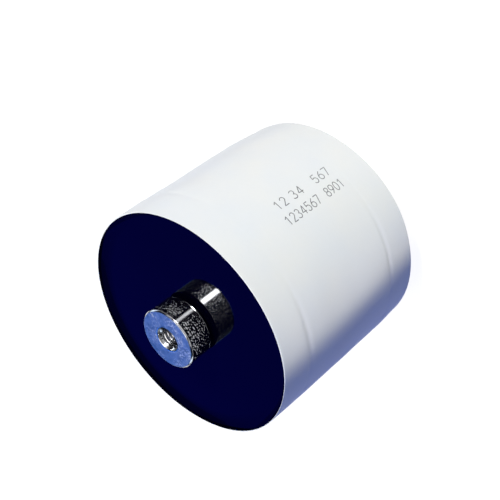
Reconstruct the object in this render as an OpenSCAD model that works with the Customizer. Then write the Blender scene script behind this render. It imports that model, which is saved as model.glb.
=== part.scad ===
// Axial film capacitor with a tape-wrapped round body, resin-filled ends
// and a tapped round terminal in the middle of each end.
// It stands on the face of its lower terminal: z = 0 is that face,
// and the Z axis is the axis of the winding.

/* [Wrapped body] */
// Outside diameter of the tape wrap
body_d = 80; // [64:0.5:120]
// Length of the tape wrap, rim to rim
body_l = 67.5; // [50:0.5:140]
// Thickness of the wound tape
wrap_wall = 0.6; // [0.3:0.1:1.5]

/* [Winding] */
// Thickness of the plain film wound over the roll
cover_wall = 0.8; // [0.3:0.1:2]
// Outside diameter of the core tube
core_d = 12; // [8:0.5:18]
// Wall of the core tube
core_wall = 1.5; // [1:0.1:2.5]
// Thickness of the metal sprayed on each end of the roll
spray_t = 0.7; // [0.4:0.1:1.2]

/* [Resin ends] */
// Depth from the rim of the wrap to the sprayed metal
end_depth = 8; // [7:0.25:14]
// Depth from the rim of the wrap to the surface of the resin
resin_recess = 1.8; // [1:0.1:3]
// Radius of the resin's rise along the wrap
wrap_meniscus = 1; // [0.2:0.1:1.5]
// Radius of the resin's rise around the terminal's neck
neck_meniscus = 0.7; // [0.2:0.1:0.9]

/* [Contact plates] */
// Diameter of the contact plate
plate_d = 46; // [38:0.5:56]
// Thickness of the contact plate
plate_t = 0.8; // [0.5:0.1:1.5]
// Number of solder joints on each plate
solder_count = 6; // [3:1:8]
// Diameter of a solder joint's window in the plate
window_d = 5; // [3:0.25:6]
// Diameter of a solder joint's cap on the plate
cap_d = 7.5; // [6.5:0.25:8]
// Height of a solder joint's cap above the plate
cap_h = 0.9; // [0.5:0.1:1.5]

/* [Terminals] */
// Diameter of the terminal's head
head_d = 20.8; // [17:0.2:26]
// Height of the terminal's face above the rim of the wrap
face_h = 8.1; // [6:0.1:12]
// Height of the back of the head above the resin
neck_gap = 1.3; // [1:0.1:3]
// Chamfer around the terminal's face
face_chamfer = 0.4; // [0.2:0.1:1]
// Chamfer around the back of the terminal's head
back_chamfer = 0.3; // [0.1:0.1:0.8]
// Diameter of the neck between the head and the foot
neck_d = 14; // [12.5:0.25:15.5]
// Width across the flats of the hexagonal foot in the resin
foot_af = 19; // [17:0.25:20]
// Thickness of the hexagonal foot
foot_t = 2.5; // [1.5:0.1:3.5]

/* [Thread] */
// Nominal diameter of the tapped hole
thread_d = 8; // [6:1:10]
// Pitch of the thread
thread_pitch = 1.25; // [1:0.05:1.5]
// Metal left under the point of the tapped hole
hole_floor = 2.4; // [1:0.1:4]
// Diameter of the countersink at the mouth of the hole, over the thread
countersink_over = 0.8; // [0.2:0.1:1.2]

/* [Hidden] */
$fn = 96;

// Height of the whole part, and of the middle plane that its ends mirror in
total_h = body_l + 2 * face_h;
mid_z = total_h / 2;

// Distances from the middle plane to each layer of an end
rim_z = body_l / 2;
resin_z = rim_z - resin_recess;
spray_z = rim_z - end_depth;
roll_z = spray_z - spray_t;
plate_z = spray_z + plate_t;
face_z = rim_z + face_h;
back_z = resin_z + neck_gap;

// Radii, each layer lying on the one inside it
body_r = body_d / 2;
wrap_r = body_r - wrap_wall;
roll_r = wrap_r - cover_wall;
core_r = core_d / 2;
core_bore_r = core_r - core_wall;
head_r = head_d / 2;
neck_r = neck_d / 2;
foot_r = foot_af / 2 / cos(30);

// Tapped hole: bore at the crests of the thread, then a drill's point
crest_share = 0.5413;
drill_slope = 31;
bore_r = thread_d / 2 - crest_share * thread_pitch;
mouth_r = (thread_d + countersink_over) / 2;
mouth_h = mouth_r - bore_r;
drill_tip_h = bore_r * tan(drill_slope);
hole_z = plate_z + hole_floor + drill_tip_h;

// Solder joints on a circle midway between the foot and the plate's edge
joint_r = (foot_r + plate_d / 2) / 2;
cap_sphere_r = (pow(cap_d / 2, 2) + pow(cap_h, 2)) / (2 * cap_h);

// Angle between the points of a small rounded corner
arc_step = 15;

// Length by which a cutter runs past the surface it opens
cut_over = 1;

// Ring between two radii, from z = low to z = high
module ring(outer_r, inner_r, low, high) {
    translate([0, 0, low])
        difference() {
            cylinder(r = outer_r, h = high - low);
            translate([0, 0, -cut_over])
                cylinder(r = inner_r, h = high - low + 2 * cut_over);
        }
}

// Places one end's piece, drawn outwards from the middle plane at z = 0
module on_top() {
    translate([0, 0, mid_z]) children();
}

module on_bottom() {
    translate([0, 0, mid_z]) mirror([0, 0, 1]) children();
}

// Puts a copy at each solder joint
module at_joints() {
    for (i = [0 : solder_count - 1])
        rotate([0, 0, i * 360 / solder_count])
            translate([joint_r, 0, 0]) children();
}

// Head and neck of a terminal, as one turned shape
module terminal_turning() {
    rotate_extrude()
        polygon([
            [0, plate_z],
            [neck_r, plate_z],
            [neck_r, back_z],
            [head_r - back_chamfer, back_z],
            [head_r, back_z + back_chamfer],
            [head_r, face_z - face_chamfer],
            [head_r - face_chamfer, face_z],
            [0, face_z]
        ]);
}

// Hexagonal foot that keys the terminal into the resin, from z = low up
module terminal_foot(low) {
    translate([0, 0, low]) cylinder(r = foot_r, h = plate_z + foot_t - low, $fn = 6);
}

// Everything cut out of the terminal for the screw
module tapped_hole() {
    translate([0, 0, hole_z])
        cylinder(r = bore_r, h = face_z - hole_z + cut_over);
    translate([0, 0, hole_z - drill_tip_h])
        cylinder(r1 = 0, r2 = bore_r, h = drill_tip_h);
    translate([0, 0, face_z - mouth_h])
        cylinder(r1 = bore_r, r2 = mouth_r + cut_over, h = mouth_h + cut_over);
}

module terminal() {
    difference() {
        union() {
            terminal_turning();
            terminal_foot(plate_z);
        }
        tapped_hole();
    }
}

// Disc of a contact plate, from z = low up
module plate_disc(low) {
    translate([0, 0, low]) cylinder(d = plate_d, h = plate_z - low);
}

module contact_plate() {
    difference() {
        plate_disc(spray_z);
        at_joints()
            translate([0, 0, spray_z - cut_over])
                cylinder(d = window_d, h = plate_t + 2 * cut_over);
    }
}

// Domed cap of one solder joint on the plate, within a column of one diameter
module solder_cap(low, column_d) {
    intersection() {
        translate([0, 0, plate_z + cap_h - cap_sphere_r])
            sphere(r = cap_sphere_r);
        translate([0, 0, low]) cylinder(d = column_d, h = plate_z + 2 * cap_h - low);
    }
}

module solder_joints() {
    at_joints() {
        solder_cap(plate_z, cap_d + cut_over);
        translate([0, 0, spray_z]) cylinder(d = window_d, h = plate_t + cap_h / 2);
    }
}

// Poured resin, with its rise along the wrap and around the neck
module resin_pour() {
    rotate_extrude()
        polygon(concat(
            [[0, spray_z], [wrap_r, spray_z]],
            [for (a = [0 : arc_step : 90])
                [wrap_r - wrap_meniscus * (1 - cos(a)),
                 resin_z + wrap_meniscus * (1 - sin(a))]],
            [for (a = [90 : -arc_step : 0])
                [neck_r + neck_meniscus * (1 - cos(a)),
                 resin_z + neck_meniscus * (1 - sin(a))]],
            [[0, resin_z + neck_meniscus]]
        ));
}

// Resin around what it holds. Each cutter starts below the plate, so that
// the spaces of the neck, foot, plate and caps open into each other.
module resin_end() {
    low = spray_z - cut_over;
    difference() {
        resin_pour();
        translate([0, 0, low]) cylinder(r = neck_r, h = face_z - low);
        terminal_foot(low);
        plate_disc(low);
        at_joints() solder_cap(low, cap_d);
    }
}

module end_spray() {
    ring(roll_r, core_bore_r, roll_z, spray_z);
}

module tape_wrap() {
    color("whitesmoke") on_top() ring(body_r, wrap_r, -rim_z, rim_z);
}

module inner_wrap() {
    color("gainsboro") on_top() ring(wrap_r, roll_r, -spray_z, spray_z);
}

module film_winding() {
    color("lightgray") on_top() ring(roll_r, core_r, -roll_z, roll_z);
}

module core_tube() {
    color("ivory") on_top() ring(core_r, core_bore_r, -roll_z, roll_z);
}

module end_spray_top() {
    color("slategray") on_top() end_spray();
}

module end_spray_bottom() {
    color("slategray") on_bottom() end_spray();
}

module contact_plate_top() {
    color("tan") on_top() contact_plate();
}

module contact_plate_bottom() {
    color("tan") on_bottom() contact_plate();
}

module solder_joints_top() {
    color("silver") on_top() solder_joints();
}

module solder_joints_bottom() {
    color("silver") on_bottom() solder_joints();
}

module terminal_top() {
    color("lightsteelblue") on_top() terminal();
}

module terminal_bottom() {
    color("lightsteelblue") on_bottom() terminal();
}

module resin_end_top() {
    color("midnightblue") on_top() resin_end();
}

module resin_end_bottom() {
    color("midnightblue") on_bottom() resin_end();
}

tape_wrap();
inner_wrap();
film_winding();
core_tube();
end_spray_top();
end_spray_bottom();
contact_plate_top();
contact_plate_bottom();
solder_joints_top();
solder_joints_bottom();
terminal_top();
terminal_bottom();
resin_end_top();
resin_end_bottom();
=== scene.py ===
"""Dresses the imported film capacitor: its tape wrap, terminals, resin ends and marks.

The part stands on its lower terminal with its axis along +Z, in metres.
"""

import math

import bmesh
import bpy
import numpy as np
from bpy.props import FloatProperty, FloatVectorProperty, IntProperty, PointerProperty
from mathutils import Matrix, Vector


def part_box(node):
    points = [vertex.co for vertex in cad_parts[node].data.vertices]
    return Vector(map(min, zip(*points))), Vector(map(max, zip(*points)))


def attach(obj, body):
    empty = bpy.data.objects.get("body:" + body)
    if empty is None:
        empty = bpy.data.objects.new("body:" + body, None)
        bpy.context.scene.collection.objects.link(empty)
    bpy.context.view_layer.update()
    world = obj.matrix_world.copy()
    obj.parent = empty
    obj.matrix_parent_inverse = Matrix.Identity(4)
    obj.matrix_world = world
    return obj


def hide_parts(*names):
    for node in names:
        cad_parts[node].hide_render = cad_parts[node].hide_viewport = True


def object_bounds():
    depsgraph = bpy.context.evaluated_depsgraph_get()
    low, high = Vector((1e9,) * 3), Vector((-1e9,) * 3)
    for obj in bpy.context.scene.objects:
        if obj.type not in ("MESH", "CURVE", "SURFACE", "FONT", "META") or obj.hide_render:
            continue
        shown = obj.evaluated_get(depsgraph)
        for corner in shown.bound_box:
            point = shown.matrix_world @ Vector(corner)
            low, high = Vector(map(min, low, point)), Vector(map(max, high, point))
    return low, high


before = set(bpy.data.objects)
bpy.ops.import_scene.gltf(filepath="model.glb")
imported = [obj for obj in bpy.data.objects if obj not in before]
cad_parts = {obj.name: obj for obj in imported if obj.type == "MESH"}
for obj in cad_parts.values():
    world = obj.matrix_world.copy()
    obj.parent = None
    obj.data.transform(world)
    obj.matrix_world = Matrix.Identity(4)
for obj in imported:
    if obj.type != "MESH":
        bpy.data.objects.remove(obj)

bl_info = {
    "name": "Film capacitor",
    "version": (1, 0, 0),
    "blender": (4, 5, 0),
    "location": "3D View > Sidebar > Film capacitor",
    "description": "Builds the finish of a film capacitor over its packed solids",
    "category": "Object",
}

MM = 0.001
TURN = 2 * math.pi

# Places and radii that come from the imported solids
CAD_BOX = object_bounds()
WRAP_LOW, WRAP_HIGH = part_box("tape_wrap")
HEAD_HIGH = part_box("terminal_top")[1]
RESIN_LOW, RESIN_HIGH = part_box("resin_end_top")
PLATE_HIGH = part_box("contact_plate_top")[1]
MID_Z = (WRAP_LOW.z + WRAP_HIGH.z) / 2
RIM_Z = WRAP_HIGH.z
FACE_Z = HEAD_HIGH.z
PLATE_Z = PLATE_HIGH.z
SPRAY_Z = RESIN_LOW.z
WRAP_R = WRAP_HIGH.x
RESIN_R = RESIN_HIGH.x
HEAD_R = HEAD_HIGH.y
FOOT_R = HEAD_HIGH.x
PLATE_R = PLATE_HIGH.x
OVER_END = RIM_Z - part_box("film_winding")[1].z

ENDS = ("top", "bottom")


# ---- settings


def length(name, about, default, low=0.0):
    """A length property, in metres."""
    return FloatProperty(
        name=name, description=about, default=default, min=low, precision=5, unit="LENGTH"
    )


def angle(name, about, degrees):
    """An angle property, kept in radians."""
    return FloatProperty(
        name=name, description=about, default=math.radians(degrees), subtype="ANGLE"
    )


def number(name, about, default, high=100.0):
    """A plain number from 0 up."""
    return FloatProperty(name=name, description=about, default=default, min=0.0, max=high)


def colour(name, about, default):
    """A linear colour property."""
    return FloatVectorProperty(
        name=name, description=about, default=default, size=3, min=0.0, max=1.0, subtype="COLOR"
    )


class CapacitorWrap(bpy.types.PropertyGroup):
    """Sizes and colour of the tape wrap."""

    colour: colour("Tape colour", "White polyester tape", (0.80, 0.81, 0.825))
    turns: IntProperty(
        name="Turns at the rim",
        description="Turns of tape seen at each rim",
        default=4,
        min=1,
        max=8,
    )
    stagger: length("Stagger", "How unevenly the turns end at a rim", 0.07 * MM)
    rounding: length("Rim rounding", "Rounding of the outermost turn at a rim", 0.3 * MM)
    tape_step: length("Tape end step", "Step at the tape's free end", 0.09 * MM)
    seam_angle: angle("Seam angle", "Where the tape's free end lies", 96)
    unevenness: length("Unevenness", "Broad unevenness of the wound surface", 0.3 * MM)
    shoulder: length("Shoulder", "How far the tape swells over the roll's ends", 0.10 * MM)
    end_sink: length("End sink", "How far the tape sinks from there to the rim", 0.28 * MM)
    crease: length("Crease", "Depth of the creases over the roll's ends", 0.13 * MM)


class CapacitorTerminal(bpy.types.PropertyGroup):
    """Sizes and colour of the two terminals."""

    colour: colour("Plating colour", "Nickel plate", (0.66, 0.67, 0.70))
    thread: length("Thread", "Nominal diameter of the tapped hole", 8 * MM)
    pitch: length("Pitch", "Pitch of the thread", 1.25 * MM)
    mouth: length("Mouth", "Diameter of the tapped hole's rounded lip at the face", 8.9 * MM)
    hole_floor: length("Hole floor", "Metal left under the point of the hole", 2.4 * MM)
    face_chamfer: length("Face chamfer", "Chamfer around the face", 0.4 * MM)
    back_chamfer: length("Back chamfer", "Chamfer around the back of the head", 0.3 * MM)
    neck: length("Neck", "Diameter of the neck", 14 * MM)
    neck_gap: length("Neck gap", "Height of the head's back above the resin", 1.3 * MM)
    foot: length("Foot", "Thickness of the hexagonal foot in the resin", 2.5 * MM)
    grain: length("Grain", "Spacing of the pits etched in the head's side", 0.8 * MM)
    grain_depth: number("Grain depth", "Depth of a pit over its radius", 0.33)
    bead: length("Bead", "Height of the rolled bead around the back of the head", 0.07 * MM)


class CapacitorResin(bpy.types.PropertyGroup):
    """Sizes and colour of the poured resin."""

    colour: colour("Resin colour", "Dark blue epoxy", (0.0003, 0.0003, 0.004))
    recess: length("Recess", "Depth of the resin's surface below the rim", 1.8 * MM)
    wrap_rise: length("Rise at the wrap", "Height of the resin's rise along the wrap", 1.76 * MM)
    wrap_reach: length("Reach of the rise", "How far from the wrap the rise starts", 5.4 * MM)
    tightening: number("Tightening", "How much shorter the rise is along one side", 0.56, 0.8)
    neck_rise: length("Rise at the neck", "Radius of the resin's rise around the neck", 0.7 * MM)
    swell: length("Swell", "Height of the faint swells of the cured surface", 0.004 * MM)


class CapacitorMarks(bpy.types.PropertyGroup):
    """Sizes and colour of the two rows of plain digits."""

    colour: colour("Ink colour", "Grey marking ink", (0.16, 0.16, 0.17))
    height: length("Height", "Height of a digit", 3.1 * MM)
    stroke: length("Stroke", "Width of a stroke", 0.27 * MM)
    proud: length("Ink thickness", "How far the ink stands off the tape", 0.012 * MM)
    start: length("Start", "Distance of the rows from the rim", 26.4 * MM)
    row_angle: angle("First row", "Angle of the first row's foot around the axis", -75.0)
    row_step: angle("Row step", "Angle from one row to the next", -8.2)


class CapacitorStage(bpy.types.PropertyGroup):
    """Camera and light."""

    lens: FloatProperty(name="Lens", description="Focal length", default=68.048, unit="CAMERA")
    camera_distance: length("Camera distance", "From the upper rim's centre", 296.375 * MM)
    camera_rise: angle("Camera rise", "Elevation of the camera over the upper rim", 31.1465)
    look_turn: angle("Look turn", "Turn of the view from +Y towards +X", 1.6144)
    look_down: angle("Look down", "Tilt of the view below the horizon", 37.0231)
    roll: angle("Roll", "Roll of the camera about its view", 126.2797)
    key: number("Key", "Strength of the key lamps", 1.0)
    fill: number("Fill", "Strength of the fill lamps", 1.0)


# ---- mesh tools

# Longest wave of an uneven surface, over its shortest
WAVE_RANGE = 4


def wave_field(seed, count, most_turns, shortest, angles, heights):
    """Smooth unevenness over angle and height, about 1 high, that closes round the axis."""
    rng = np.random.default_rng(seed)
    total = np.zeros(np.broadcast(angles, heights).shape)
    for _ in range(count):
        turns = rng.integers(0, most_turns + 1)
        wave = 1 / (shortest * rng.uniform(1, WAVE_RANGE)) * rng.choice((-1, 1))
        phase = rng.uniform(0, TURN)
        total += np.cos(turns * angles + TURN * wave * heights + phase)
    return total / math.sqrt(count)


def ease(value, low, high):
    """0 below low, 1 above high and a smooth step between."""
    share = np.clip((value - low) / (high - low), 0, 1)
    return share * share * (3 - 2 * share)


def ring(angles, radius, height):
    """Points of one ring around the axis. Radius and height may vary with the angle."""
    radius = np.broadcast_to(radius, angles.shape)
    height = np.broadcast_to(height, angles.shape)
    return np.column_stack((radius * np.cos(angles), radius * np.sin(angles), height))


def strip(first, count, second, other):
    """Faces between two rings. One may have a whole number of times the other's points."""
    spans = min(count, other)
    near, far = count // spans, other // spans
    faces = []
    for i in range(spans):
        ahead = [first + k % count for k in range(i * near, (i + 1) * near + 1)]
        back = [second + k % other for k in range(i * far, (i + 1) * far + 1)]
        faces.append(tuple(ahead + back[::-1]))
    return faces


def skin(name, rings, closed_section, end="top", sharp_degrees=35):
    """A mesh object whose faces join each ring to the next.

    An open section ends in a point at each end. At the bottom, the shape is turned half
    round about a level axis.
    """
    counts = [len(points) for points in rings]
    starts = np.concatenate(([0], np.cumsum(counts))).astype(int).tolist()
    points = np.vstack(rings)
    faces = []
    rows = len(rings)
    for row in range(rows if closed_section else rows - 1):
        other = (row + 1) % rows
        faces += strip(starts[row], counts[row], starts[other], counts[other])
    if not closed_section:
        for row in (0, rows - 1):
            first, count = starts[row], counts[row]
            centre = len(points)
            points = np.vstack((points, points[first : first + count].mean(0)))
            for i in range(count):
                faces.append((centre, first + (i + 1) % count, first + i))
    if end == "bottom":
        points = points * (1, -1, -1) + (0, 0, 2 * MID_Z)
    return solid(name, points, faces, sharp_degrees)


def face_outward(mesh):
    """Turns every face of a closed mesh to look outward."""
    shell = bmesh.new()
    shell.from_mesh(mesh)
    bmesh.ops.recalc_face_normals(shell, faces=shell.faces)
    shell.to_mesh(mesh)
    shell.free()


def solid(name, points, faces, sharp_degrees):
    """A shaded mesh object, sharp where its faces meet at more than that angle."""
    mesh = bpy.data.meshes.new(name)
    mesh.from_pydata([tuple(p) for p in points], [], faces)
    mesh.validate()
    face_outward(mesh)
    mesh.shade_smooth()
    mesh.set_sharp_from_angle(angle=math.radians(sharp_degrees))
    piece = bpy.data.objects.new(name, mesh)
    bpy.context.scene.collection.objects.link(piece)
    return piece


def finish_piece(piece, material, slot, *nodes):
    """Gives a new piece its material, hangs it under the root and hides the imported parts that it
    stands in for.
    """
    piece.data.materials.append(material)
    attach(piece, "root")
    if nodes:
        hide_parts(*nodes)


# ---- shader tools

SHADER = "Principled BSDF"

# Range that most of a noise texture's values lie in
NOISE_SPAN = (0.28, 0.72)


def put(tree, kind, inputs=None, **settings):
    """Adds a shader node. Each input is a value or the socket that feeds it."""
    node = tree.nodes.new(kind)
    for name, value in settings.items():
        setattr(node, name, value)
    for name, value in (inputs or {}).items():
        if isinstance(value, bpy.types.NodeSocket):
            tree.links.new(value, node.inputs[name])
        else:
            node.inputs[name].default_value = value
    return node


def sum_of(tree, operation, first, second=0.0, third=0.0, clamp=False):
    """One Math node's result."""
    node = put(tree, "ShaderNodeMath", {0: first, 1: second, 2: third}, operation=operation)
    node.use_clamp = clamp
    return node.outputs[0]


def spread(tree, value, low, high, to_low, to_high, smooth=False):
    """Maps value from one range to another, held at the ends."""
    node = put(
        tree,
        "ShaderNodeMapRange",
        {"Value": value, "From Min": low, "From Max": high, "To Min": to_low, "To Max": to_high},
    )
    if smooth:
        node.interpolation_type = "SMOOTHSTEP"
    return node.outputs["Result"]


def between(tree, share, low, high):
    """A value from low to high, by a share."""
    return spread(tree, share, 0.0, 1.0, low, high)


def blend(tree, share, first, second):
    """Mixes two colours by a share."""
    node = put(tree, "ShaderNodeMix", data_type="RGBA")
    for index, value in ((0, share), (6, first), (7, second)):
        if isinstance(value, bpy.types.NodeSocket):
            tree.links.new(value, node.inputs[index])
        else:
            node.inputs[index].default_value = value
    return node.outputs[2]


def rgba(values, scale=1.0):
    """A colour with full alpha."""
    return tuple(min(1.0, v * scale) for v in values) + (1.0,)


def group_tree(name, inputs, outputs):
    """A shader node group with named float inputs and outputs. Returns it with its two ends."""
    tree = bpy.data.node_groups.new(name, "ShaderNodeTree")
    for label, default in inputs:
        made = tree.interface.new_socket(name=label, in_out="INPUT", socket_type="NodeSocketFloat")
        made.default_value = default
    for label in outputs:
        tree.interface.new_socket(name=label, in_out="OUTPUT", socket_type="NodeSocketFloat")
    return tree, tree.nodes.new("NodeGroupInput"), tree.nodes.new("NodeGroupOutput")


def place_of(tree):
    """The point's own place in the part, in metres."""
    return tree.nodes.new("ShaderNodeTexCoord").outputs["Object"]


def axis_place(tree):
    """Radius from the axis and height along it."""
    parts = put(tree, "ShaderNodeSeparateXYZ", {0: place_of(tree)})
    x = sum_of(tree, "MULTIPLY", parts.outputs["X"], parts.outputs["X"])
    y = sum_of(tree, "MULTIPLY_ADD", parts.outputs["Y"], parts.outputs["Y"], x)
    return sum_of(tree, "SQRT", y), parts.outputs["Z"]


def upright(tree, normal):
    """1 where that normal points up or down, and 0 where it lies level."""
    geometry = tree.nodes.new("ShaderNodeNewGeometry")
    parts = put(tree, "ShaderNodeSeparateXYZ", {0: geometry.outputs[normal]})
    return sum_of(tree, "ABSOLUTE", parts.outputs["Z"])


def line_noise(tree, steps, detail):
    """Noise along one line."""
    inputs = {"W": steps, "Scale": 1.0, "Detail": detail}
    return put(tree, "ShaderNodeTexNoise", inputs, noise_dimensions="1D").outputs["Fac"]


def place_noise(tree, scale, detail, distortion=0.0):
    """Noise over the part's own space."""
    inputs = {"Vector": place_of(tree), "Scale": scale, "Detail": detail, "Distortion": distortion}
    return put(tree, "ShaderNodeTexNoise", inputs).outputs["Fac"]


def mottle_group():
    """Soft cloudy unevenness, from Low to High."""
    tree, given, out = group_tree(
        "Mottle", (("Scale", 100.0), ("Detail", 3.0), ("Low", 0.0), ("High", 1.0)), ("Value",)
    )
    cloud = place_noise(tree, given.outputs["Scale"], given.outputs["Detail"])
    value = spread(tree, cloud, *NOISE_SPAN, given.outputs["Low"], given.outputs["High"])
    tree.links.new(value, out.inputs["Value"])
    return tree


def speck_group():
    """Small specks: 1 inside a speck and 0 between, with Height for their relief."""
    tree, given, out = group_tree(
        "Specks", (("Scale", 1500.0), ("Amount", 0.5), ("Softness", 0.1)), ("Mask", "Height")
    )
    grain = place_noise(tree, given.outputs["Scale"], 2.0, distortion=0.6)
    edge = sum_of(tree, "SUBTRACT", 1.0, given.outputs["Amount"])
    top = sum_of(tree, "ADD", edge, given.outputs["Softness"])
    mask = spread(tree, grain, edge, top, 0.0, 1.0, smooth=True)
    tree.links.new(mask, out.inputs["Mask"])
    tree.links.new(grain, out.inputs["Height"])
    return tree


def turning_group():
    """Tool marks round the axis, with spacing Pitch and some wander."""
    tree, given, out = group_tree(
        "Turning marks", (("Pitch", 0.12 * MM), ("Wander", 0.5)), ("Height",)
    )
    radius, height = axis_place(tree)
    along = sum_of(tree, "ADD", radius, height)
    steps = sum_of(tree, "DIVIDE", along, given.outputs["Pitch"])
    cloud = place_noise(tree, 160.0, 1.0)
    fade = spread(tree, cloud, 0.3, 0.7, 1.0, given.outputs["Wander"])
    mark = sum_of(tree, "MULTIPLY", line_noise(tree, steps, 2.0), fade)
    tree.links.new(mark, out.inputs["Height"])
    return tree


def layer_group():
    """Fine lines of a wound roll, seen on its ends as rings and on its side as bands."""
    tree, given, out = group_tree(
        "Wound layers", (("Ring spacing", 0.1 * MM), ("Band spacing", 2 * MM)), ("Lines",)
    )
    radius, height = axis_place(tree)
    rings = sum_of(tree, "DIVIDE", radius, given.outputs["Ring spacing"])
    bands = sum_of(tree, "DIVIDE", height, given.outputs["Band spacing"])
    inputs = {
        0: upright(tree, "Normal"), 2: line_noise(tree, bands, 3.0), 3: line_noise(tree, rings, 3.0)
    }
    mixed = put(tree, "ShaderNodeMix", inputs)
    tree.links.new(mixed.outputs[0], out.inputs["Lines"])
    return tree


GROUP_MAKERS = {
    "Mottle": mottle_group,
    "Specks": speck_group,
    "Turning marks": turning_group,
    "Wound layers": layer_group,
}


def effect(tree, name, **values):
    """Places a shared effect in a material, made on its first use."""
    shared = bpy.data.node_groups.get(name) or GROUP_MAKERS[name]()
    node = tree.nodes.new("ShaderNodeGroup")
    node.node_tree = shared
    for label, value in values.items():
        node.inputs[label.replace("_", " ")].default_value = value
    return node


def mottle(tree, scale, detail, **limits):
    """The Mottle effect's value."""
    return effect(tree, "Mottle", Scale=scale, Detail=detail, **limits).outputs["Value"]


def wound_lines(tree, rings, bands):
    """The Wound layers effect's lines, with that spacing of its rings and bands."""
    node = effect(tree, "Wound layers", Ring_spacing=rings, Band_spacing=bands)
    return node.outputs["Lines"]


def new_material(name, fixed=()):
    """A material and its nodes. Fixed inputs of its Principled shader are set on their sockets."""
    material = bpy.data.materials.new(name)
    material.use_nodes = True
    tree = material.node_tree
    for label, value in dict(fixed).items():
        tree.nodes[SHADER].inputs[label].default_value = value
    return material, tree


def dress(material, base, rough=None, *reliefs):
    """Gives a material's shader its colour, its roughness and its reliefs.

    Each relief is a height with its depth in metres, laid over the one before.
    """
    tree = material.node_tree
    found = {"Base Color": base, "Roughness": rough}
    for height, depth in reliefs:
        bump = put(tree, "ShaderNodeBump", {"Height": height, "Distance": depth, "Strength": 1.0})
        if "Normal" in found:
            tree.links.new(found["Normal"], bump.inputs["Normal"])
        found["Normal"] = bump.outputs["Normal"]
    for label, value in found.items():
        if value:
            tree.links.new(value, tree.nodes[SHADER].inputs[label])
    return material


# ---- materials

# The cooler and the warmer clouds in the tape, over its own colour
TAPE_COOL = (0.97, 0.985, 1.01)
TAPE_WARM = (1.02, 1.01, 0.99)


def tape_material(look):
    """White polyester tape: satin, faintly cloudy, its turns fine rings at the rims."""
    material, tree = new_material(
        "wrap_tape", {"IOR": 1.45, "Diffuse Roughness": 1.0, "Specular IOR Level": 0.06}
    )
    clouds = mottle(tree, 55.0, 4.0)
    fine = mottle(tree, 900.0, 2.0)
    cool, warm = (rgba(np.multiply(look.colour, tint)) for tint in (TAPE_COOL, TAPE_WARM))
    base = blend(tree, clouds, cool, warm)
    base = blend(tree, sum_of(tree, "MULTIPLY", fine, 0.12), base, rgba(look.colour, 0.93))
    layers = wound_lines(tree, 0.06 * MM, 4 * MM)
    rough = between(tree, clouds, 0.5, 0.6)
    return dress(material, base, rough, (layers, 0.006 * MM), (fine, 0.0015 * MM))


def nickel_material(look):
    """Nickel plate: a scuffed satin face with bright specks, a bright side and bright threads."""
    material, tree = new_material("nickel_plate", {"Metallic": 1.0})
    radius, _ = axis_place(tree)
    is_face = spread(tree, upright(tree, "True Normal"), 0.9, 0.98, 0.0, 1.0)
    outside = spread(tree, radius, look.mouth * 0.5, look.mouth * 0.52, 0.0, 1.0)
    face = sum_of(tree, "MULTIPLY", is_face, outside)
    side = sum_of(tree, "MULTIPLY", sum_of(tree, "SUBTRACT", 1.0, is_face), outside)
    pits = effect(tree, "Specks", Scale=2600.0, Amount=0.5, Softness=0.12)
    scuffs = effect(tree, "Specks", Scale=1350.0, Amount=0.52, Softness=0.14)
    patches = mottle(tree, 230.0, 2.0, Low=-0.35, High=1.3)
    clouds = mottle(tree, 420.0, 4.0)
    turning = effect(tree, "Turning marks", Pitch=0.1 * MM, Wander=0.4).outputs["Height"]
    worn = sum_of(tree, "MULTIPLY", scuffs.outputs["Mask"], patches, clamp=True)
    plain = blend(tree, clouds, rgba(look.colour, 0.55), rgba(look.colour, 1.0))
    flecked = blend(tree, worn, plain, (1.0, 0.98, 0.98, 1))
    base = blend(tree, face, rgba(look.colour, 1.02), flecked)
    face_rough = between(tree, clouds, 0.34, 0.42)
    face_rough = sum_of(tree, "MULTIPLY_ADD", worn, 0.2, face_rough)
    side_rough = between(tree, clouds, 0.11, 0.16)
    hole_rough = between(tree, clouds, 0.16, 0.24)
    rough = sum_of(tree, "MULTIPLY", face_rough, face)
    rough = sum_of(tree, "MULTIPLY_ADD", side_rough, side, rough)
    inside = sum_of(tree, "SUBTRACT", 1.0, outside)
    rough = sum_of(tree, "MULTIPLY_ADD", hole_rough, inside, rough)
    pit_height = sum_of(tree, "MULTIPLY", pits.outputs["Height"], side)
    face_height = sum_of(tree, "MULTIPLY", turning, face)
    return dress(material, base, rough, (pit_height, 0.003 * MM), (face_height, 0.008 * MM))


def resin_material(look):
    """Poured dark blue epoxy: nearly a mirror, with faint haze and dust."""
    material, tree = new_material("blue_resin", {"IOR": 1.5})
    clouds = mottle(tree, 70.0, 2.0)
    dust = effect(tree, "Specks", Scale=2200.0, Amount=0.27, Softness=0.05).outputs["Mask"]
    base = blend(tree, clouds, rgba(look.colour, 0.93), rgba(look.colour, 1.07))
    rough = between(tree, clouds, 0.045, 0.055)
    rough = sum_of(tree, "MULTIPLY_ADD", dust, 0.02, rough)
    return dress(material, base, rough, (clouds, 0.0015 * MM))


def ink_material(look):
    """Grey marking ink, thin and a little uneven."""
    material, tree = new_material("marking_ink", {"Specular IOR Level": 0.3})
    patches = mottle(tree, 1600.0, 3.0)
    base = blend(tree, patches, rgba(look.colour, 0.8), rgba(look.colour, 1.5))
    rough = between(tree, patches, 0.5, 0.7)
    return dress(material, base, rough, (patches, 0.004 * MM))


def film_material(name, tint, metallic, ring_spacing):
    """Wound plastic film: fine rings on its ends and bands along its side."""
    material, tree = new_material(name, {"Metallic": metallic, "IOR": 1.5})
    layers = wound_lines(tree, ring_spacing, 3 * MM)
    clouds = mottle(tree, 90.0, 3.0)
    base = blend(tree, layers, rgba(tint, 0.85), rgba(tint, 1.1))
    rough = between(tree, clouds, 0.2, 0.34)
    return dress(material, base, rough, (layers, 0.02 * MM))


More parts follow.
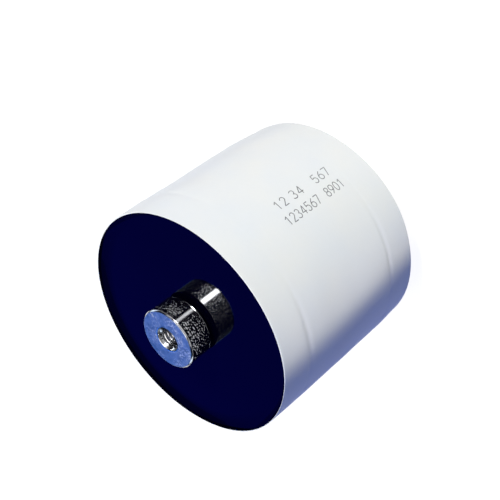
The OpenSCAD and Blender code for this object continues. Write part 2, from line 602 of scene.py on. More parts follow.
def sprayed_material():
    """Sprayed zinc: a rough grey crust of small droplets."""
    material, tree = new_material("sprayed_zinc", {"Metallic": 1.0})
    drops = effect(tree, "Specks", Scale=1500.0, Amount=0.5, Softness=0.2)
    clouds = mottle(tree, 200.0, 4.0)
    base = blend(tree, clouds, (0.40, 0.41, 0.43, 1), (0.58, 0.59, 0.61, 1))
    rough = spread(tree, drops.outputs["Height"], 0.3, 0.7, 0.55, 0.8)
    return dress(material, base, rough, (drops.outputs["Height"], 0.12 * MM))


def tinned_material():
    """Tinned copper sheet: bright, rolled, with copper showing faintly."""
    material, tree = new_material("tinned_copper", {"Metallic": 1.0})
    clouds = mottle(tree, 130.0, 4.0)
    marks = effect(tree, "Turning marks", Pitch=0.3 * MM, Wander=0.2).outputs["Height"]
    base = blend(tree, clouds, (0.62, 0.56, 0.50, 1), (0.74, 0.73, 0.71, 1))
    rough = between(tree, clouds, 0.2, 0.36)
    return dress(material, base, rough, (marks, 0.006 * MM))


def solder_material():
    """Bright solder, with the dull frost it sets with."""
    material, tree = new_material("solder", {"Metallic": 1.0})
    clouds = mottle(tree, 420.0, 4.0)
    frost = effect(tree, "Specks", Scale=2400.0, Amount=0.5, Softness=0.2)
    base = blend(tree, clouds, (0.60, 0.61, 0.62, 1), (0.74, 0.75, 0.76, 1))
    rough = between(tree, clouds, 0.16, 0.38)
    return dress(material, base, rough, (frost.outputs["Height"], 0.02 * MM))


def tube_material():
    """Moulded plastic tube: cream, faintly grained."""
    material, tree = new_material("core_plastic", {"IOR": 1.5})
    clouds = mottle(tree, 160.0, 3.0)
    grain = mottle(tree, 2500.0, 2.0)
    base = blend(tree, clouds, (0.80, 0.77, 0.69, 1), (0.86, 0.83, 0.75, 1))
    rough = between(tree, grain, 0.45, 0.58)
    return dress(material, base, rough, (grain, 0.006 * MM))


# ---- tape wrap

WRAP_COLUMNS = 480
WRAP_ROWS = 121
SEAM_GAP = math.radians(0.2)

# Where the tape starts to sink, where its swell ends and where the sinking ends,
# in heights of the rim over the roll's end
SHOULDER_PLACE = 1.4
SWELL_END = 3.5
SINK_END = -0.2

# Unevenness of the tape: share, then seed, count, most turns and shortest wave
TAPE_WAVES = ((0.5, 3, 9, 7, 30 * MM), (0.14, 4, 9, 5, 7 * MM))

# The crease near each rim: which side of the middle it lies on, and its seed
CREASES = ((1, 64), (-1, 284))
CREASE_WIDTH = 1.0 * MM
CREASE_DRIFT = 0.4 * MM

# How strong a crease is along its length: mean, swing, least and most
CREASE_STRENGTH = (0.9, 0.6, 0.3, 2)


def wrap_radius(angles, heights, look):
    """Outer radius of the wound tape at each angle and height."""
    from_rim = np.minimum(heights - WRAP_LOW.z, RIM_Z - heights)
    since_seam = np.mod(angles - look.seam_angle, TURN) / TURN
    radius = WRAP_R - look.tape_step * (1 - since_seam)
    shoulder = OVER_END * SHOULDER_PLACE
    radius = radius + look.shoulder * (1 - ease(from_rim, shoulder, SWELL_END * OVER_END))
    radius = radius - look.end_sink * (1 - ease(from_rim, SINK_END * OVER_END, shoulder))
    for share, *waves in TAPE_WAVES:
        radius = radius + share * look.unevenness * wave_field(*waves, angles, heights)
    mean, swing, least, most = CREASE_STRENGTH
    for side, seed in CREASES:
        drift = wave_field(seed + 20, 3, 4, 1.0, angles, 0 * heights)
        centre = MID_Z + side * ((RIM_Z - MID_Z) - shoulder) + CREASE_DRIFT * drift
        wave = wave_field(seed, 4, 6, 1.0, angles, 0 * heights)
        strength = np.clip(mean + swing * wave, least, most)
        across = (heights - centre) / CREASE_WIDTH
        radius = radius - look.crease * strength * np.exp(-(across**2))
    return radius


def build_wrap(look):
    """The tape wrap: uneven wound wall, staggered turns at both rims and the free end's step."""
    angles = look.seam_angle + SEAM_GAP + np.linspace(0, TURN - 2 * SEAM_GAP, WRAP_COLUMNS)
    rings = []
    for z in np.linspace(WRAP_LOW.z, RIM_Z, WRAP_ROWS)[1:-1]:
        rings.append(ring(angles, wrap_radius(angles, np.full_like(angles, z), look), z))
    rings += rim_rings(angles, look, RIM_Z, -1)
    for z in (RIM_Z - 2 * MM, SPRAY_Z, MID_Z, 2 * MID_Z - SPRAY_Z, WRAP_LOW.z + 2 * MM):
        rings.append(ring(angles, RESIN_R, z))
    rings += rim_rings(angles, look, WRAP_LOW.z, 1)[::-1]
    piece = skin("tape_wrap_wound", rings[::-1], closed_section=True, sharp_degrees=40)
    finish_piece(piece, tape_material(look), "wrap_tape", "tape_wrap")


# Chamfer of the innermost turn, the gap between turns, and the seed of the first turn's edge
INNER_CORNER = 0.06 * MM
TURN_GAP = 0.01 * MM
EDGE_SEED = 40


def rim_rings(angles, look, rim, inward):
    """Rings across one rim, from its outer edge to its inner one.

    Each turn of tape ends at its own height, and the outermost is rounded.
    """
    made = []
    outer = wrap_radius(angles, np.full_like(angles, rim), look)
    for turn in range(look.turns):
        wave = np.clip(wave_field(EDGE_SEED + turn, 6, 9, 1.0, angles, 0 * angles), -1, 1)
        level = rim + inward * look.stagger * (1 + wave) / 2
        start = outer - (outer - RESIN_R) * turn / look.turns
        end = outer - (outer - RESIN_R) * (turn + 1) / look.turns
        if turn == 0:
            rounded = inward * look.rounding
            made.append(ring(angles, start, level + rounded))
            made.append(ring(angles, start - 0.13 * look.rounding, level + 0.5 * rounded))
            made.append(ring(angles, (start + end) / 2, level + 0.13 * rounded))
        else:
            made.append(ring(angles, start, level))
        made.append(ring(angles, end + TURN_GAP, level))
    made.append(ring(angles, RESIN_R, level + inward * INNER_CORNER))
    return made


# ---- marks


def oval(cx, cy, rx, ry, start=0, end=360, steps=16):
    """Points along part of an oval, angles in degrees."""
    turn = np.radians(np.linspace(start, end, steps))
    return list(zip(cx + rx * np.cos(turn), cy + ry * np.sin(turn)))


# Digits are drawn in a box that wide and 1 high, in steps of at most that length
DIGIT_WIDTH = 0.6
DIGIT_STEP = 0.12

DIGITS = {
    "0": [oval(0.3, 0.5, 0.27, 0.5)],
    "1": [[(0.1, 0.76), (0.34, 1.0), (0.34, 0.0)]],
    "2": [oval(0.3, 0.73, 0.25, 0.27, 170, -30, 9) + [(0.05, 0.0), (0.56, 0.0)]],
    "3": [oval(0.27, 0.75, 0.23, 0.25, 150, -80, 9), oval(0.27, 0.26, 0.27, 0.26, 80, -150, 10)],
    "4": [[(0.42, 0.0), (0.42, 1.0), (0.03, 0.28), (0.58, 0.28)]],
    "5": [[(0.52, 1.0), (0.12, 1.0), (0.08, 0.56)] + oval(0.28, 0.32, 0.27, 0.32, 125, -150, 11)],
    "6": [[(0.46, 1.0), (0.2, 0.72), (0.05, 0.42)] + oval(0.31, 0.3, 0.27, 0.3, 165, 525, 15)],
    "7": [[(0.03, 1.0), (0.57, 1.0), (0.22, 0.0)]],
    "8": [oval(0.3, 0.76, 0.22, 0.24), oval(0.3, 0.26, 0.27, 0.26)],
    "9": [[(0.14, 0.0), (0.4, 0.28), (0.55, 0.58)] + oval(0.29, 0.7, 0.27, 0.3, -15, 345, 15)],
}

# Groups of plain counting digits: row, then distance from the row's start, digit pitch and
# digit width in millimetres
MARK_GROUPS = (
    (0, 0.0, 2.9, 2.1, "12"),
    (0, 7.4, 3.0, 2.3, "34"),
    (0, 18.2, 2.8, 2.1, "567"),
    (1, -1.1, 2.35, 1.9, "1234567"),
    (1, 18.1, 2.25, 1.85, "8901"),
)


def ribbon(path, width):
    """Left and right edges of a stroke of that width along a path in a plane."""
    line = np.array(path, float)
    ahead = np.gradient(line, axis=0)
    ahead /= np.maximum(np.linalg.norm(ahead, axis=1, keepdims=True), 1e-12)
    across = np.column_stack((-ahead[:, 1], ahead[:, 0])) * width / 2
    return line + across, line - across


def build_marks(look, wrap):
    """Two rows of plain digits, as thin ink on the wrap."""
    points = []
    faces = []
    for row, start, pitch, width, text in MARK_GROUPS:
        foot = look.row_angle + row * look.row_step
        stretch = width * MM / DIGIT_WIDTH
        for place, digit in enumerate(text):
            left = look.start + (start + place * pitch) * MM
            for stroke in DIGITS[digit]:
                path = [(left + x * stretch, y * look.height) for x, y in dense(stroke)]
                add_ribbon(points, faces, ribbon(path, look.stroke), foot, look, wrap)
    piece = solid("print_marks", points, faces, 60)
    finish_piece(piece, ink_material(look), None)


def dense(path):
    """The same path with points close enough to follow the curve of the wrap."""
    made = [path[0]]
    for a, b in zip(path, path[1:]):
        steps = max(1, math.ceil(math.dist(a, b) / DIGIT_STEP))
        for i in range(1, steps + 1):
            made.append((a[0] + (b[0] - a[0]) * i / steps, a[1] + (b[1] - a[1]) * i / steps))
    return made


def add_ribbon(points, faces, edges, foot, look, wrap):
    """Lays one stroke on the wrap as a closed strip, sunk a little so that no gap shows."""
    first = len(points)
    count = len(edges[0])
    for edge in edges:
        heights = RIM_Z - edge[:, 0]
        angles = foot + edge[:, 1] / WRAP_R
        surface = wrap_radius(angles, heights, wrap)
        for lift in (look.proud, -look.proud):
            radius = surface + lift
            points.extend(ring(angles, radius, heights))
    left_top, left_low, right_top, right_low = (first + k * count for k in range(4))
    corners = (left_top, right_top, right_low, left_low)
    for i in range(count - 1):
        for a, b in zip(corners, corners[1:] + corners[:1]):
            faces.append((a + i, a + i + 1, b + i + 1, b + i))
    for i in (0, count - 1):
        faces.append(tuple(corner + i for corner in corners))


# ---- resin ends

RESIN_COLUMNS = 288
RISE_POWER = 2.6

# Range of the sine of the angle, towards -Y, over which the rise along the wrap tightens
NEAR_SIDE = (-0.1, 0.45)

# Faint swells of the surface: seed, count, most turns and shortest wave, and how near to
# the neck and to the wrap they fade
SWELL_WAVES = (71, 8, 5, 12 * MM)
SWELL_FROM_NECK = 3 * MM
SWELL_FROM_WRAP = 9 * MM


def resin_profile(look, neck, foot_height):
    """Radius and height of each ring of a resin end, inwards over it and back below it."""
    level = RIM_Z - look.recess
    made = [(RESIN_R, SPRAY_Z), (RESIN_R, (SPRAY_Z + level) / 2)]
    for share in np.linspace(1, 0, 25):
        reach = look.wrap_reach * (1 - share)
        made.append((RESIN_R - reach, level + look.wrap_rise * share**RISE_POWER))
    for radius in np.linspace(RESIN_R - look.wrap_reach, neck + look.neck_rise, 40)[1:-1]:
        made.append((radius, level))
    for turn in np.linspace(math.pi / 2, 0, 9):
        away, up = 1 - math.cos(turn), 1 - math.sin(turn)
        made.append((neck + look.neck_rise * away, level + look.neck_rise * up))
    foot_top = PLATE_Z + foot_height
    made += [(neck, foot_top), (FOOT_R, foot_top), (FOOT_R, PLATE_Z)]
    return made + [(PLATE_R, PLATE_Z), (PLATE_R, SPRAY_Z)]


def build_resin(look, terminal, end):
    """One resin end: level surface with its rise along the wrap and around the neck."""
    angles = np.linspace(0, TURN, RESIN_COLUMNS, endpoint=False)
    neck = terminal.neck / 2
    level = RIM_Z - look.recess
    inner = neck + look.neck_rise
    near = 1 - look.tightening * ease(-np.sin(angles), *NEAR_SIDE)
    rings = []
    for radius, z in resin_profile(look, neck, terminal.foot):
        inside = ease(radius, inner, inner + SWELL_FROM_NECK)
        inside *= 1 - ease(radius, RESIN_R - SWELL_FROM_WRAP, RESIN_R - look.wrap_reach)
        swell = look.swell * inside * (z == level)
        wobble = wave_field(*SWELL_WAVES, angles, np.full_like(angles, radius)) * swell
        if z > level and radius > RESIN_R / 2:
            radius = RESIN_R - (RESIN_R - radius) * near
        rings.append(ring(angles, radius, z + wobble))
    return skin(f"resin_pour_{end}", rings, closed_section=True, end=end)


# ---- terminals

TERMINAL_COLUMNS = 180

# Thread, in pitches: its depth, and how far from the groove's middle its root ends and
# the crest starts
THREAD_DEPTH = 0.5413
ROOT_END = 1 / 16
CREST_START = 3 / 8
RINGS_PER_PITCH = 14

# Slope of the drilled point, and how fast the lead into the thread narrows
DRILL_SLOPE = math.radians(31)
LEAD_SLOPE = 0.8

GRAIN_COLUMNS = 720
GRAIN_ROWS = 76

# Pits in the head's side: radius, least and most, and jitter of their places, over their spacing
PIT_SEED = 5
PIT_SIZES = (0.25, 0.5)
PIT_JITTER = 0.3

# Depths below the face over which the pits fade in, and the height over the bead
PITS_FROM = (0.6 * MM, 1.1 * MM)
PITS_ABOVE_BEAD = 0.5 * MM
BEAD_HEIGHT = 0.3 * MM

# Band of the head's side that is rubbed smooth: its place, half width and share of wear
RUB_ANGLE = math.radians(-75)
RUB_WIDTH = math.radians(7.5)
RUB_WEAR = 0.9

# Rounded chamfer of the face, in chamfer widths inward from the side and down from the face
CHAMFER_ROUNDING = ((1.15, 0.0), (1.02, 0.02), (0.92, 0.09), (0.09, 0.92), (0.02, 1.02))


def thread_depth(angles, z, pitch):
    """Depth of the thread's groove at each angle of one height.

    It has 60 degree flanks, and a flat crest and root.
    """
    turns = np.mod((z - pitch * angles / TURN) / pitch, 1)
    from_middle = np.abs(turns - 0.5)
    cut = np.clip((CREST_START - from_middle) / (CREST_START - ROOT_END), 0, 1)
    return THREAD_DEPTH * pitch * cut


def hole_rings(angles, look):
    """Rings of the tapped hole, from its drilled point up to its rounded lip."""
    crest = look.thread / 2 - THREAD_DEPTH * look.pitch
    tip_height = crest * math.tan(DRILL_SLOPE)
    tip = PLATE_Z + look.hole_floor
    floor = tip + tip_height
    made = [ring(angles, crest * share, tip + tip_height * share) for share in (0.02, 0.3, 0.65)]
    lip = look.mouth / 2 - look.thread / 2
    steps = round((FACE_Z - lip - floor) / (look.pitch / RINGS_PER_PITCH))
    for z in np.linspace(floor, FACE_Z - lip, steps):
        fade = ease(z, floor + 0.6 * look.pitch, floor + 1.6 * look.pitch)
        thread = crest + thread_depth(angles, z, look.pitch) * fade
        lead = look.thread / 2 - LEAD_SLOPE * (FACE_Z - lip - z)
        made.append(ring(angles, np.maximum(thread, lead), z))
    for turn in np.radians((18, 36, 54, 72, 90)):
        radius = look.mouth / 2 - lip * math.cos(turn)
        made.append(ring(angles, radius, FACE_Z - lip * (1 - math.sin(turn))))
    return made


def hexagon(angles, corner):
    """Radius of a hexagon with a corner at angle zero."""
    return corner * math.cos(math.pi / 6) / np.cos(np.mod(angles, math.pi / 3) - math.pi / 6)


def pit_places(spacing, low, high):
    """Angle, height and radius of each pit etched in the head's side.

    Each cell of an uneven grid has one.
    """
    rng = np.random.default_rng(PIT_SEED)
    columns = round(TURN * HEAD_R / spacing)
    rows = round((high - low) / spacing)
    row, column = np.mgrid[0:rows, 0:columns]
    aside, up = (rng.uniform(-PIT_JITTER, PIT_JITTER, row.shape) for _ in range(2))
    angles = (column + row % 2 / 2 + aside) * TURN / columns
    heights = low + (row + 0.5 + up) * (high - low) / rows
    sizes = spacing * rng.uniform(*PIT_SIZES, row.shape)
    from_rub = np.mod(angles - RUB_ANGLE + math.pi, TURN) - math.pi
    sizes *= 1 - RUB_WEAR * np.exp(-((from_rub / RUB_WIDTH) ** 4))
    return np.column_stack((angles.ravel(), heights.ravel(), sizes.ravel()))


def pit_cut(angles, z, pits):
    """Depth of the pits along one ring, where each is as deep as its radius."""
    cut = np.zeros_like(angles)
    for turn, height, size in pits[np.abs(pits[:, 1] - z) < pits[:, 2]]:
        aside = HEAD_R * (np.mod(angles - turn + math.pi, TURN) - math.pi)
        from_middle = (aside**2 + (z - height) ** 2) / size**2
        cut = np.maximum(cut, size * np.clip(1 - from_middle, 0, 1))
    return cut


def head_side(look, back):
    """Rings down the head: rounded face chamfer, pitted side, bead and back chamfer."""
    angles = np.linspace(0, TURN, GRAIN_COLUMNS, endpoint=False)
    chamfer = look.face_chamfer
    low = back + look.back_chamfer
    made = []
    for inward, down in CHAMFER_ROUNDING:
        made.append(ring(angles, HEAD_R - inward * chamfer, FACE_Z - down * chamfer))
    bead_top = low + BEAD_HEIGHT
    pits = pit_places(look.grain, bead_top, FACE_Z - chamfer)
    for z in np.linspace(FACE_Z - 1.3 * chamfer, bead_top, GRAIN_ROWS):
        cut = pit_cut(angles, z, pits) * look.grain_depth
        cut *= ease(z, bead_top, bead_top + PITS_ABOVE_BEAD) * ease(FACE_Z - z, *PITS_FROM)
        made.append(ring(angles, HEAD_R - cut, z))
    for share in np.linspace(0, 1, 8)[1:-1]:
        swell = look.bead * math.sin(math.pi * share)
        made.append(ring(angles, HEAD_R + swell, low + BEAD_HEIGHT * (1 - share)))
    made.append(ring(angles, HEAD_R, low))
    made.append(ring(angles, HEAD_R - look.back_chamfer, back))
    return made


def build_terminal(look, resin, end):
    """One terminal: tapped hole, face, head, neck and hexagonal foot as one closed shell."""
    angles = np.linspace(0, TURN, TERMINAL_COLUMNS, endpoint=False)
    back = RIM_Z - resin.recess + look.neck_gap
    neck = look.neck / 2
    face = HEAD_R - 1.4 * look.face_chamfer
    foot_top = PLATE_Z + look.foot
    foot = hexagon(angles, FOOT_R)
    rings = hole_rings(angles, look)
    for radius in np.linspace(look.mouth / 2, face, 14)[1:]:
        rings.append(ring(angles, radius, FACE_Z))
    rings += head_side(look, back)
    rings.append(ring(angles, (HEAD_R + neck) / 2, back))
    for z in np.linspace(back, foot_top, 8):
        rings.append(ring(angles, neck, z))
    rings.append(ring(angles, foot, foot_top))
    rings.append(ring(angles, foot, PLATE_Z))
    rings.append(ring(angles, foot * 0.5, PLATE_Z))
    return skin(f"terminal_tapped_{end}", rings, False, end=end, sharp_degrees=32)


# ---- stage


def new_lamp(name, kind, turn, rise, distance, energy, tint, beside=(0, 0, 0)):
    """A lamp at that turn and rise from the part's middle, which faces it or a point beside it."""
    lamp = bpy.data.lights.new(name, kind)
    lamp.energy = energy
    lamp.color = tint
    holder = bpy.data.objects.new(name, lamp)
    bpy.context.scene.collection.objects.link(holder)
    turn, rise = math.radians(turn), math.radians(rise)
    level = Vector((math.cos(turn), math.sin(turn), 0)) * math.cos(rise)
    away = (level + Vector((0, 0, math.sin(rise)))) * distance
    holder.location = Vector((0, 0, MID_Z)) + away
    holder.rotation_mode = "QUATERNION"
    holder.rotation_quaternion = (Vector(beside) - away).to_track_quat("-Z", "Y")
    holder.visible_camera = False
    return holder


def softbox(name, turn, rise, distance, width, height, radiance, tint, rays, only=None):
    """A soft area lamp that faces the part. Radiance is the brightness of its surface.

    It serves the diffuse or the glossy look of what it lights, and may be kept to some pieces.
    """
    energy = radiance * math.pi * width * height
    holder = new_lamp(name, "AREA", turn, rise, distance, energy, tint)
    holder.data.shape = "RECTANGLE"
    holder.data.size = width
    holder.data.size_y = height
    holder.visible_diffuse = rays == "diffuse"
    holder.visible_glossy = rays == "glossy"
    if only:
        holder.light_linking.receiver_collection = only


def lamp_targets(name, *pieces):
    """A collection of the pieces that a lamp is kept to."""
    targets = bpy.data.collections.new(name)
    for piece in pieces:
        targets.objects.link(bpy.data.objects[piece])
    return targets


def seen_share(tree):
    """1 for camera, glossy and transmission rays."""
    path = tree.nodes.new("ShaderNodeLightPath")
    total = sum_of(tree, "ADD", path.outputs["Is Camera Ray"], path.outputs["Is Glossy Ray"])
    return sum_of(tree, "ADD", total, path.outputs["Is Transmission Ray"], clamp=True)


WHITE = (1.0, 1.0, 1.0)
PALE_BLUE = (0.75, 0.87, 1.0)
DEEP_BLUE = (0.01, 0.012, 1.0)

FLOOR_RADIUS = 9.0
FLOOR_DROP = 0.05 * MM
CARD_RADIUS = 400.0
CARD_HEIGHT = 1.9

# How bright the floor looks, and the world's strength to what it lights and what sees it
FLOOR_WHITE = 0.93
WORLD_STRENGTH = (0.04, 1.0)


def disc(name, radius, z, material):
    """A level disc of the stage."""
    turns = np.linspace(0, TURN, 96, endpoint=False)
    sheet = solid(name, ring(turns, radius, z), [tuple(range(len(turns)))], 60)
    sheet.data.materials.append(material)
    return sheet


def floor_material():
    """Pale floor: its own white to what looks at it, and plain pale paper to the light."""
    material, tree = new_material(
        "floor_paper", {"Roughness": 0.9, "Specular IOR Level": 0, "Emission Color": rgba(WHITE)}
    )
    grain = mottle(tree, 300.0, 2.0)
    base = blend(tree, grain, rgba(WHITE, 0.30), rgba(WHITE, 0.31))
    glow = sum_of(tree, "MULTIPLY", seen_share(tree), FLOOR_WHITE)
    tree.links.new(glow, tree.nodes[SHADER].inputs["Emission Strength"])
    return dress(material, base)


def card_material():
    """Black card over the stage, which keeps the resin's mirror dark."""
    material, tree = new_material("black_card", {"Roughness": 1.0, "Specular IOR Level": 0.0})
    grain = mottle(tree, 40.0, 2.0)
    return dress(material, blend(tree, grain, rgba(WHITE, 0.002), rgba(WHITE, 0.003)))


def build_stage(look):
    """Floor, black card, world, lamps and camera."""
    scene = bpy.context.scene
    scene.view_settings.view_transform = "Standard"
    disc("stage_floor", FLOOR_RADIUS, CAD_BOX[0].z - FLOOR_DROP, floor_material())
    card = disc("stage_card", CARD_RADIUS, CARD_HEIGHT, card_material())
    card.visible_camera = card.visible_diffuse = card.visible_shadow = False
    world = scene.world or bpy.data.worlds.new("World")
    scene.world = world
    world.use_nodes = True
    tree = world.node_tree
    ground = tree.nodes["Background"]
    strength = between(tree, seen_share(tree), *WORLD_STRENGTH)
    tree.links.new(strength, ground.inputs["Strength"])
    ground.inputs["Color"].default_value = rgba(WHITE)
    build_lamps(look)
    build_camera(look)


# Each softbox: name, turn and rise in degrees, distance, width and height in metres, the
# setting that scales it, radiance and tint. These shade the tape.
TAPE_LAMPS = (
    ("key_softbox", -46, 34, 1.3, 0.2, 0.2, "key", 103.0, (0.95, 0.965, 0.985)),
    ("front_fill", -132, 34, 1.3, 0.4, 0.4, "fill", 3.1, (0.33, 0.58, 1.0)),
    ("low_fill", 170, 30, 1.3, 0.4, 0.4, "fill", 10.8, (0.0, 0.05, 1.0)),
    ("back_fill", 85, 12, 1.5, 0.5, 0.4, "fill", 14.0, (1.0, 0.98, 0.95)),
    ("top_panel", 100, 80, 1.3, 0.8, 0.8, "fill", 2.2, (0.9, 0.96, 1.0)),
)

# Seen in every gloss
GLINT_LAMPS = (("key_glint", -60, 34, 1.3, 0.2, 0.16, "key", 13.0, WHITE),)

# Seen in the terminals alone
METAL_LAMPS = (
    ("metal_strip", -60, 34.6, 1.3, 0.36, 0.5, "key", 23.0, WHITE),
    ("metal_arch", -90, 55, 1.3, 1.1, 0.3, "key", 0.7, WHITE),
    ("metal_arch_left", -24, 46, 1.3, 0.5, 0.14, "key", 0.9, WHITE),
    ("metal_arch_right", -156, 46, 1.3, 0.5, 0.14, "key", 0.9, WHITE),
    ("metal_low", -90, 13, 0.8, 3.6, 0.34, "key", 0.42, WHITE),
    ("metal_sky", 90, 42, 1.3, 0.8, 0.6, "fill", 1.4, (0.065, 0.25, 1.0)),
    ("metal_left", 146, 17, 1.3, 0.7, 0.3, "fill", 1.5, PALE_BLUE),
    ("metal_right", 34, 17, 1.3, 0.7, 0.3, "fill", 1.5, PALE_BLUE),
    ("metal_zenith", -90, 86, 1.3, 1.1, 0.8, "fill", 2.5, (1.0, 0.98, 0.94)),
)

# Seen in the resin alone
RESIN_LAMPS = (
    ("resin_sky", 90, 28, 1.3, 1.6, 1.1, "fill", 0.16, DEEP_BLUE),
    ("resin_zenith", 90, 56, 1.3, 1.6, 1.5, "fill", 0.17, DEEP_BLUE),
)

# Each spot: name, turn and rise in degrees, how far aside its patch lies in metres, the
# setting that scales it, power and tint
SPOTS = (
    ("front_spot", -115, 34, 425 * MM, "key", 20.4, (1.0, 0.955, 0.71)),
    ("back_spot", 150, 34, -426 * MM, "fill", 19.0, (1.0, 0.96, 0.6)),
)
SPOT_DISTANCE = 1.3
SPOT_RADIUS = 2 * MM

# Half width of a spot's patch on the part, and of its soft edge
PATCH_HALF = 450 * MM
PATCH_EDGE = 12 * MM

# How far over the part's middle a patch is centred, which tilts its edge
SPOT_LIFT = 10 * MM


def build_lamps(look):
    """The spots, the tape's softboxes, and those that show only in a gloss."""
    for name, turn, rise, aside, setting, power, tint in SPOTS:
        spotlight(name, turn, rise, aside, power * getattr(look, setting), tint)
    metal = lamp_targets("lamps_on_metal", *(f"terminal_tapped_{end}" for end in ENDS))
    resin = lamp_targets("lamps_on_resin", *(f"resin_pour_{end}" for end in ENDS))
    for lamps, rays, only in (
        (TAPE_LAMPS, "diffuse", None),
        (GLINT_LAMPS, "glossy", None),
        (METAL_LAMPS, "glossy", metal),
        (RESIN_LAMPS, "glossy", resin),
    ):
        for *place, setting, radiance, tint in lamps:
            softbox(*place, radiance * getattr(look, setting), tint, rays, only)


def spotlight(name, turn, rise, aside, power, tint):
    """A spot whose round patch of light ends along one side of the part, with a soft edge.

    Aside is how far the patch's middle lies beside the part, as seen from the spot.
    """
    across = math.radians(turn) + math.pi / 2
    beside = (math.cos(across) * aside, math.sin(across) * aside, SPOT_LIFT)
    holder = new_lamp(name, "SPOT", turn, rise, SPOT_DISTANCE, power, tint, beside)
    holder.data.spot_size = 2 * math.atan(PATCH_HALF / SPOT_DISTANCE)
    holder.data.spot_blend = 1 - (1 - PATCH_EDGE / PATCH_HALF) ** 2
    holder.data.shadow_soft_size = SPOT_RADIUS
    holder.visible_glossy = False


def build_camera(look):
    """The camera, placed from the upper rim's centre."""
    data = bpy.data.cameras.new("view_camera")
    data.lens = look.lens
    camera = bpy.data.objects.new("view_camera", data)
    bpy.context.scene.collection.objects.link(camera)
    rise = look.camera_rise
    back = Vector((0, -math.cos(rise), math.sin(rise))) * look.camera_distance
    camera.location = Vector((0, 0, RIM_Z)) + back
    turn, down = look.look_turn, look.look_down
    level_ahead = Vector((math.sin(turn), math.cos(turn), 0)) * math.cos(down)
    ahead = level_ahead - Vector((0, 0, math.sin(down)))
    right = ahead.cross(Vector((0, 0, 1))).normalized()
    up = right.cross(ahead)
    rolled_up = up * math.cos(look.roll) + right * math.sin(look.roll)
    rolled_right = ahead.cross(rolled_up)
    matrix = Matrix((rolled_right, rolled_up, -ahead)).transposed().to_4x4()
    matrix.translation = camera.location
    camera.matrix_world = matrix
    data.clip_start = 0.01
    data.clip_end = 50
    bpy.context.scene.camera = camera


# ---- operators


class CAPACITOR_OT_wrap(bpy.types.Operator):
    """Builds the wound tape wrap"""

    bl_idname = "capacitor.wrap"
    bl_label = "Tape wrap"

    def execute(self, context):
        build_wrap(context.scene.capacitor_wrap)
        return {"FINISHED"}


class CAPACITOR_OT_marks(bpy.types.Operator):
    """Builds the two rows of plain digits on the wrap"""

    bl_idname = "capacitor.marks"
    bl_label = "Printed marks"

    def execute(self, context):
        build_marks(context.scene.capacitor_marks, context.scene.capacitor_wrap)
        return {"FINISHED"}


class CAPACITOR_OT_resin(bpy.types.Operator):
    """Builds the poured resin at both ends"""

    bl_idname = "capacitor.resin"
    bl_label = "Resin ends"

    def execute(self, context):
        look = context.scene.capacitor_resin
        material = resin_material(look)
        for end in ENDS:
            piece = build_resin(look, context.scene.capacitor_terminal, end)
            finish_piece(piece, material, "blue_resin", f"resin_end_{end}")
        return {"FINISHED"}


class CAPACITOR_OT_terminals(bpy.types.Operator):
    """Builds both tapped terminals"""

    bl_idname = "capacitor.terminals"
    bl_label = "Terminals"

    def execute(self, context):
        look = context.scene.capacitor_terminal
        material = nickel_material(look)
        for end in ENDS:
            piece = build_terminal(look, context.scene.capacitor_resin, end)
            finish_piece(piece, material, "nickel_plate", f"terminal_{end}")
        return {"FINISHED"}


class CAPACITOR_OT_winding(bpy.types.Operator):
    """Finishes the film roll, its cover and its core tube"""

    bl_idname = "capacitor.winding"
    bl_label = "Winding"

    def execute(self, context):
        metallised = film_material("metallised_film", (0.55, 0.56, 0.58), 0.7, 0.12 * MM)
        plain = film_material("plain_film", (0.80, 0.82, 0.84), 0.0, 0.08 * MM)
        finish_nodes(metallised, "film_winding")
        finish_nodes(plain, "inner_wrap")
        finish_nodes(tube_material(), "core_tube")
        return {"FINISHED"}


class CAPACITOR_OT_contacts(bpy.types.Operator):
    """Finishes the sprayed ends, contact plates and solder joints"""

    bl_idname = "capacitor.contacts"
    bl_label = "Contacts"

    def execute(self, context):
        for material, stem in (
            (sprayed_material(), "end_spray"),
            (tinned_material(), "contact_plate"),
            (solder_material(), "solder_joints"),
        ):
            finish_nodes(material, *(f"{stem}_{end}" for end in ENDS))
        return {"FINISHED"}


def finish_nodes(material, *names):
    """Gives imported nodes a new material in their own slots."""
    for name in names:
        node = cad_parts[name]
        if not node.material_slots:
            node.data.materials.append(material)
        for place in node.material_slots:
            place.material = material


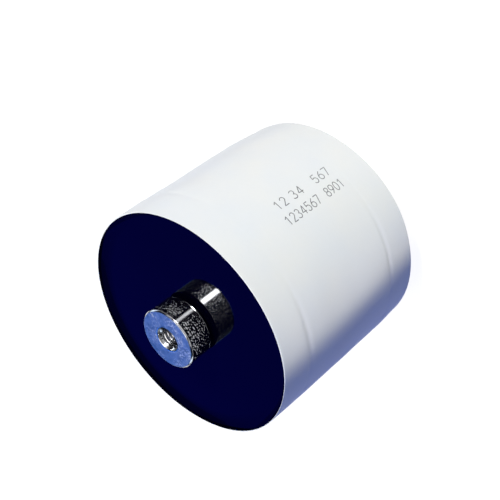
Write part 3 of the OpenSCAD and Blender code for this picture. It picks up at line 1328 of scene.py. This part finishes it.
class CAPACITOR_OT_stage(bpy.types.Operator):
    """Builds the floor, the lamps and the camera"""

    bl_idname = "capacitor.stage"
    bl_label = "Stage"

    def execute(self, context):
        build_stage(context.scene.capacitor_stage)
        return {"FINISHED"}


class CAPACITOR_PT_sidebar(bpy.types.Panel):
    """Lists the pieces and their sizes"""

    bl_idname = "CAPACITOR_PT_sidebar"
    bl_label = "Film capacitor"
    bl_space_type = "VIEW_3D"
    bl_region_type = "UI"
    bl_category = "Film capacitor"

    def draw(self, context):
        for operator, settings in PANEL_ROWS:
            box = self.layout.box()
            box.operator(operator.bl_idname)
            if settings:
                look = getattr(context.scene, settings)
                for name in look.__annotations__:
                    box.prop(look, name)


PANEL_ROWS = (
    (CAPACITOR_OT_wrap, "capacitor_wrap"),
    (CAPACITOR_OT_marks, "capacitor_marks"),
    (CAPACITOR_OT_resin, "capacitor_resin"),
    (CAPACITOR_OT_terminals, "capacitor_terminal"),
    (CAPACITOR_OT_winding, None),
    (CAPACITOR_OT_contacts, None),
    (CAPACITOR_OT_stage, "capacitor_stage"),
)

SETTINGS = {
    "capacitor_wrap": CapacitorWrap,
    "capacitor_marks": CapacitorMarks,
    "capacitor_resin": CapacitorResin,
    "capacitor_terminal": CapacitorTerminal,
    "capacitor_stage": CapacitorStage,
}


def register():
    """Adds the settings, the operators and the panel."""
    for name, kind in SETTINGS.items():
        bpy.utils.register_class(kind)
        setattr(bpy.types.Scene, name, PointerProperty(type=kind))
    for operator, _ in PANEL_ROWS:
        bpy.utils.register_class(operator)
    bpy.utils.register_class(CAPACITOR_PT_sidebar)


def unregister():
    """Takes them away again."""
    bpy.utils.unregister_class(CAPACITOR_PT_sidebar)
    for operator, _ in reversed(PANEL_ROWS):
        bpy.utils.unregister_class(operator)
    for name, kind in SETTINGS.items():
        delattr(bpy.types.Scene, name)
        bpy.utils.unregister_class(kind)


def main():
    """Builds every piece and the stage."""
    register()
    bpy.ops.capacitor.wrap()
    bpy.ops.capacitor.marks()
    bpy.ops.capacitor.resin()
    bpy.ops.capacitor.terminals()
    bpy.ops.capacitor.winding()
    bpy.ops.capacitor.contacts()
    bpy.ops.capacitor.stage()


if __name__ == "__main__":
    main()
